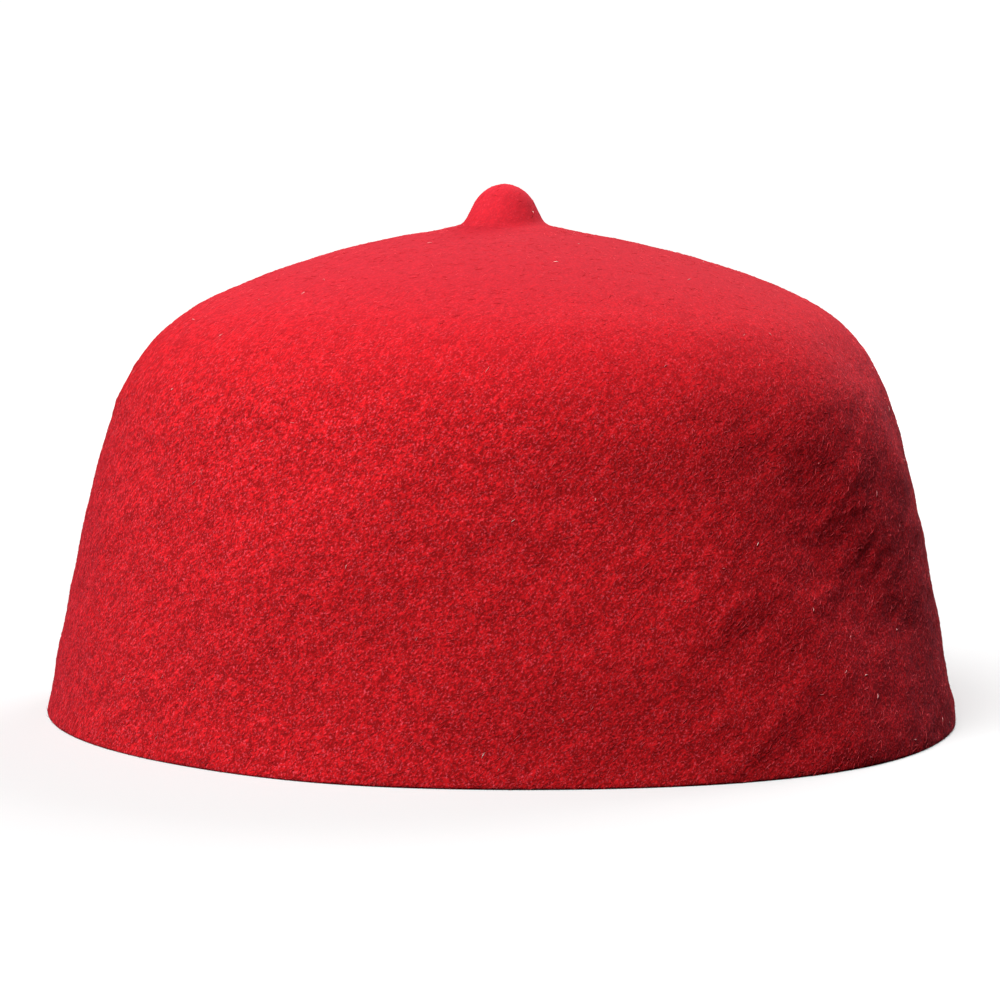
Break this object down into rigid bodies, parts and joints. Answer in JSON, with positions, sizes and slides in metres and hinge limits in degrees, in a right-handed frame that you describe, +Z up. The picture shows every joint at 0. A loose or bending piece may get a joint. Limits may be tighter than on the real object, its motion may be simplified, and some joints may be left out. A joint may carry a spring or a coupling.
{
  "type": "fez hat",
  "caption": "Soft red wool felt fez cap: a tapered round wall, a rounded shoulder, a low domed top with a small moulded peak, and a plain cut rim around the open head hollow.",
  "frame": {"origin": "centre of the rim circle on the plane the rim rests on", "axes": "+Z up through the peak, -Y towards the front of the cap, +X to the right as the front is seen"},
  "size_m": [0.19, 0.1893, 0.1105],
  "materials": {
    "felt": "matte, softly napped red wool felt"
  },
  "bodies": {
    "root": {"felt_cap": "felt"}
  },
  "joints": []
}
